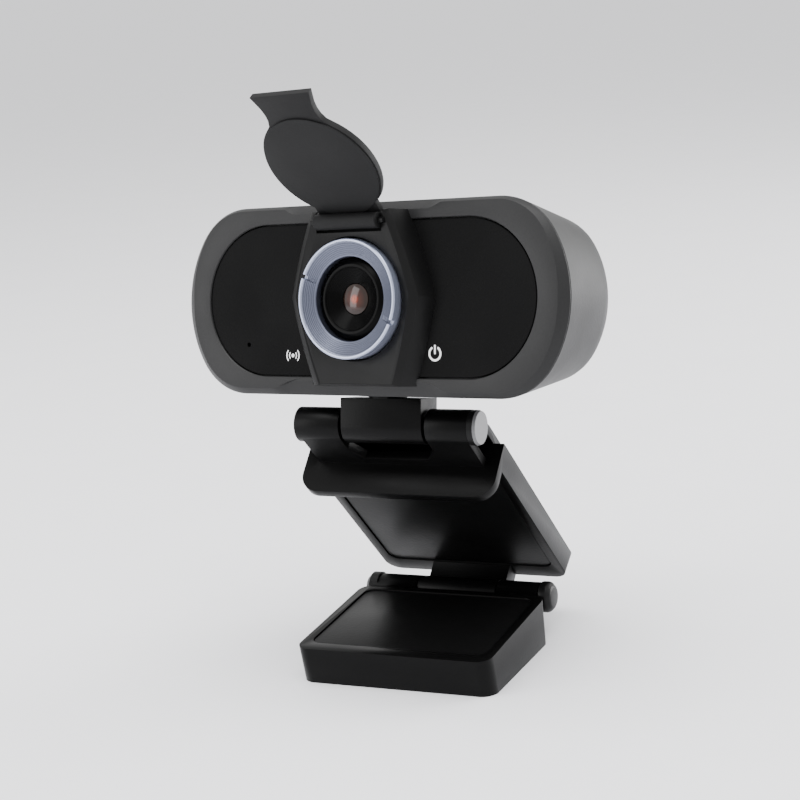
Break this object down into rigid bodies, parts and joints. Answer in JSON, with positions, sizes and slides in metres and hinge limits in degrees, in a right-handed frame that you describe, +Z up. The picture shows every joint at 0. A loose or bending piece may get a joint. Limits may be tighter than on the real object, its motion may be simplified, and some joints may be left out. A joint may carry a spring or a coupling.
{
  "type": "clip-on webcam",
  "caption": "Clip-on desktop webcam: pill-shaped head with a flip-up lens cover and focus ring, on a tilt and swivel neck and a folding clip stand with a tripod socket.",
  "frame": {"origin": "mouth of the tripod socket, in the middle of the foot's flat underside", "axes": "+Z up, +Y away from the user, +X across the clip to the camera's right-hand side as seen from the front"},
  "size_m": [0.0963, 0.066, 0.1284],
  "materials": {
    "shell_plastic": "satin black, fine texture",
    "clip_plastic": "satin black",
    "panel_mesh": "fine black texture",
    "plate_plastic": "satin black with crisp facets",
    "cover_plastic": "matt charcoal",
    "pad_rubber": "soft matt black",
    "ring_metal": "pearl blue-grey, bright edge",
    "pin_plastic": "satin black",
    "cap_plastic": "satin grey",
    "lens_black": "gloss black",
    "lens_glass": "coated glass",
    "filter_glass": "cyan tinted glass",
    "nut_brass": "turned",
    "steel": "zinc plated",
    "board": "green solder mask",
    "sensor": "dark chip",
    "rubber_soft": "soft black",
    "pipe": "clear",
    "led": "white",
    "connector": "cream"
  },
  "bodies": {
    "foot": {"foot_shell": "clip_plastic", "foot_cover": "clip_plastic", "foot_screws": "steel", "tripod_nut": "nut_brass", "foot_pad": "pad_rubber", "clip_pin": "pin_plastic", "clip_pin_cap": "pin_plastic"},
    "jaw": {"upper_jaw": "clip_plastic", "jaw_pad": "pad_rubber", "tilt_pin": "pin_plastic", "tilt_cap": "cap_plastic"},
    "neck": {"neck_bracket": "clip_plastic", "swivel_washer": "steel", "swivel_screw": "steel"},
    "head": {"front_bezel": "shell_plastic", "front_panel": "panel_mesh", "rear_shell": "shell_plastic", "cable_gland": "rubber_soft", "case_screws": "steel", "lens_plate": "plate_plastic", "cover_pin": "steel", "lens_holder": "lens_black", "ir_filter": "filter_glass", "image_sensor": "sensor", "main_board": "board", "board_screws": "steel", "microphone": "steel", "mic_boot": "rubber_soft", "light_pipes": "pipe", "status_leds": "led", "cable_header": "connector"},
    "focus": {"focus_ring": "ring_metal"},
    "lens_cell": {"lens_barrel": "lens_black", "lens_hood": "lens_black", "front_glass": "lens_glass", "rear_lens": "lens_glass"},
    "cover": {"cover_flap": "cover_plastic"}
  },
  "joints": [
    {"name": "clip_fold", "type": "hinge", "parent": "foot", "child": "jaw", "pos_m": [0, 0.021, 0.0087], "axis": [-1, 0, 0], "range_deg": [-46, 44]},
    {"name": "head_tilt", "type": "hinge", "parent": "jaw", "child": "neck", "pos_m": [0, -0.00787, 0.05572], "axis": [1, 0, 0], "range_deg": [-30, 60]},
    {"name": "head_swivel", "type": "hinge", "parent": "neck", "child": "head", "pos_m": [0, -0.00787, 0.05572], "axis": [0, 0.2181, 0.9759], "range_deg": [-79.5, 100.5]},
    {"name": "cover_flip", "type": "hinge", "parent": "head", "child": "cover", "pos_m": [-0.00255, -0.0121, 0.09991], "axis": [0.9833, -0.1778, 0.0398], "range_deg": [-36, 133.6]},
    {"name": "focus_turn", "type": "hinge", "parent": "head", "child": "focus", "pos_m": [-0.00151, -0.01008, 0.08326], "axis": [0.1822, 0.9596, -0.2145], "range_deg": [-150, 150]},
    {"name": "lens_travel", "type": "slide", "parent": "head", "child": "lens_cell", "axis": [0.1822, 0.9596, -0.2145], "range_m": [-0.00021, 0.00021]}
  ],
  "couplings": [
    {"joint": "lens_travel", "follows": "focus_turn", "m_per_rad": 0.000079577}
  ]
}
